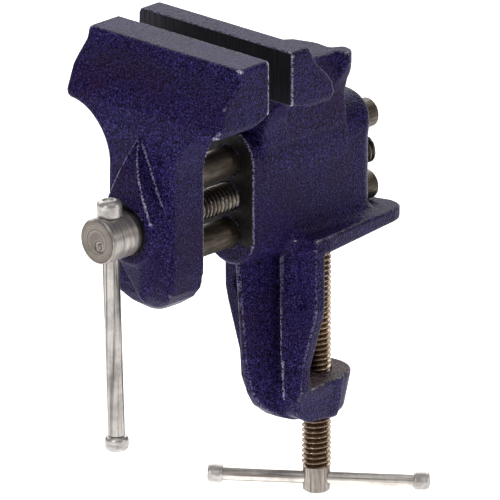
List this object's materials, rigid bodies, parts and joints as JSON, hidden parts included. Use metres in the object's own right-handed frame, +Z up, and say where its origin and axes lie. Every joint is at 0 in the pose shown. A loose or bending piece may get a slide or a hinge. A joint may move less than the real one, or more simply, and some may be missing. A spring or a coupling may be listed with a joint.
{
  "type": "clamp-on bench vise",
  "caption": "Small clamp-on bench vise: a sliding jaw on guide bars, drawn by a screw with a tommy bar, over an under-bench screw clamp with a swivel pad.",
  "frame": {"origin": "on the flange's table face (its underside), on the clamp screw's axis", "axes": "+X along the jaws, +Y along the main screw from the moving jaw to the fixed jaw, +Z up"},
  "size_m": [0.0756, 0.1474, 0.1901],
  "materials": {
    "enamel": "hammertone enamel on cast iron, semi-gloss",
    "ground_steel": "drawn bar, lightly oiled",
    "turned_steel": "turned, bright",
    "bar_steel": "drawn bar, bright",
    "knob_steel": "turned, satin",
    "oiled_steel": "rolled thread, oiled and slightly brown",
    "washer_steel": "stamped, zinc plated",
    "spring_steel": "hardened, dark"
  },
  "bodies": {
    "frame": {"body": "enamel"},
    "jaw": {"moving_jaw": "enamel", "guide_bar_upper": "ground_steel", "guide_bar_lower": "ground_steel", "guide_bar_pin_upper": "spring_steel", "guide_bar_pin_lower": "spring_steel"},
    "spindle": {"main_screw": "turned_steel", "thrust_washer": "washer_steel", "retaining_washer": "washer_steel", "retaining_clip": "spring_steel"},
    "tommy": {"tommy_bar": "bar_steel", "tommy_knob_upper": "knob_steel", "tommy_knob_lower": "knob_steel"},
    "pad": {"clamp_pad": "oiled_steel"},
    "clamp_spindle": {"clamp_screw": "oiled_steel", "pad_retainer": "spring_steel"},
    "clamp_handle": {"clamp_bar": "bar_steel", "clamp_knob_left": "knob_steel", "clamp_knob_right": "knob_steel"}
  },
  "joints": [
    {"name": "jaw_slide", "type": "slide", "parent": "frame", "child": "jaw", "axis": [0, 1, 0], "range_m": [-0.0383, 0.0117]},
    {"name": "main_screw_spin", "type": "hinge", "parent": "jaw", "child": "spindle", "pos_m": [0, -0.1083, 0.0241], "axis": [0, 1, 0], "range_deg": [-6840, 2088]},
    {"name": "tommy_bar_slide", "type": "slide", "parent": "spindle", "child": "tommy", "axis": [-0.0393, 0, 0.9992], "range_m": [0, 0.0658]},
    {"name": "pad_slide", "type": "slide", "parent": "frame", "child": "pad", "axis": [0, 0, 1], "range_m": [-0.0468, 0.002]},
    {"name": "clamp_screw_spin", "type": "hinge", "parent": "pad", "child": "clamp_spindle", "pos_m": [0, 0, -0.09], "axis": [0, 0, 1], "range_deg": [-8400, 342]},
    {"name": "clamp_bar_slide", "type": "slide", "parent": "clamp_spindle", "child": "clamp_handle", "axis": [0.8, 0.6, 0], "range_m": [-0.0306, 0.029]}
  ],
  "couplings": [
    {"joint": "jaw_slide", "follows": "main_screw_spin", "m_per_rad": 0.00031831},
    {"joint": "pad_slide", "follows": "clamp_screw_spin", "m_per_rad": 0.00031831}
  ]
}
